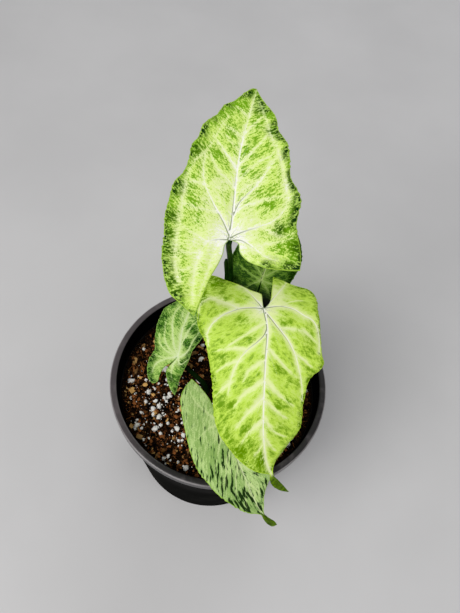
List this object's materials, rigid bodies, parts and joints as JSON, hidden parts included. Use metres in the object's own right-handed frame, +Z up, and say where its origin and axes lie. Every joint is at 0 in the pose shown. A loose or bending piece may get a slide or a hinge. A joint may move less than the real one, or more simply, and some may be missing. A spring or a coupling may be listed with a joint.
{
  "type": "potted batik syngonium",
  "caption": "Young arrowhead plant with broad variegated leaves on upright petioles, growing in potting mix in a round tapered black nursery pot with drain holes.",
  "frame": {"origin": "centre of the flat face under the pot, on the surface that the pot stands on", "axes": "+Z up out of the pot, +X to the right in the picture, +Y away from the camera"},
  "size_m": [0.12, 0.1469, 0.2348],
  "materials": {
    "pot_plastic": "moulded black polypropylene, slightly worn rim",
    "potting_mix": null,
    "stalk": "smooth dark green plant stalk; rubber stands in for living tissue",
    "leaf_lime": "satin yellow-green leaf with cream veins; rubber stands in for living tissue",
    "leaf_sage": "satin grey-green leaf with dark flecks; rubber stands in for living tissue"
  },
  "bodies": {
    "root": {"pot": "pot_plastic", "soil": "potting_mix", "stem": "stalk", "petiole_upright": "stalk", "petiole_front": "stalk", "petiole_side": "stalk", "petiole_low": "stalk", "petiole_back": "stalk", "leaf_upright": "leaf_lime", "leaf_front": "leaf_lime", "leaf_side": "leaf_sage", "leaf_low": "leaf_sage", "leaf_back": "leaf_sage"}
  },
  "joints": []
}
